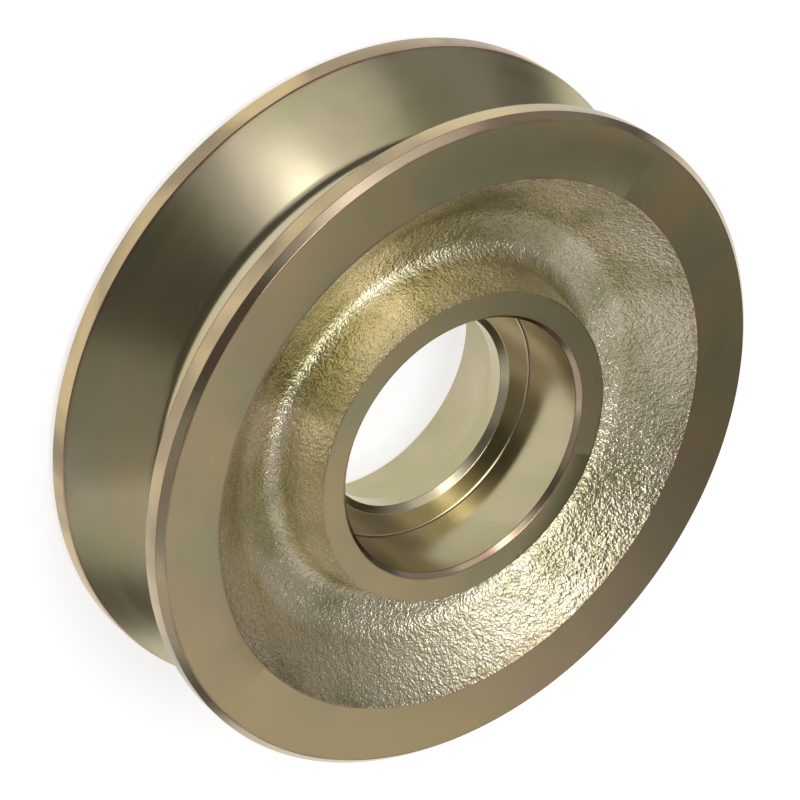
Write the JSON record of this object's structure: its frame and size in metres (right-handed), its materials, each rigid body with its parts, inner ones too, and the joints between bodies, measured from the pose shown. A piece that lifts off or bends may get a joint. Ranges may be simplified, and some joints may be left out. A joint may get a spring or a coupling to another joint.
{
  "type": "wire rope sheave",
  "caption": "Grooved steel rope wheel with a V groove and round root, dished cast web, and a stepped hub bore that seats a ball bearing from each side.",
  "frame": {"origin": "on the wheel's axis, in the plane of the lower side face that it rests on", "axes": "+Z along the wheel's axis from the lower side face to the upper one; X and Y across the wheel"},
  "size_m": [0.12, 0.12, 0.0335],
  "materials": {
    "plated_steel": "yellow zinc plate over steel: satin turned rim, groove, hub faces and bores, grainy cast web"
  },
  "bodies": {
    "root": {"sheave": "plated_steel"}
  },
  "joints": []
}
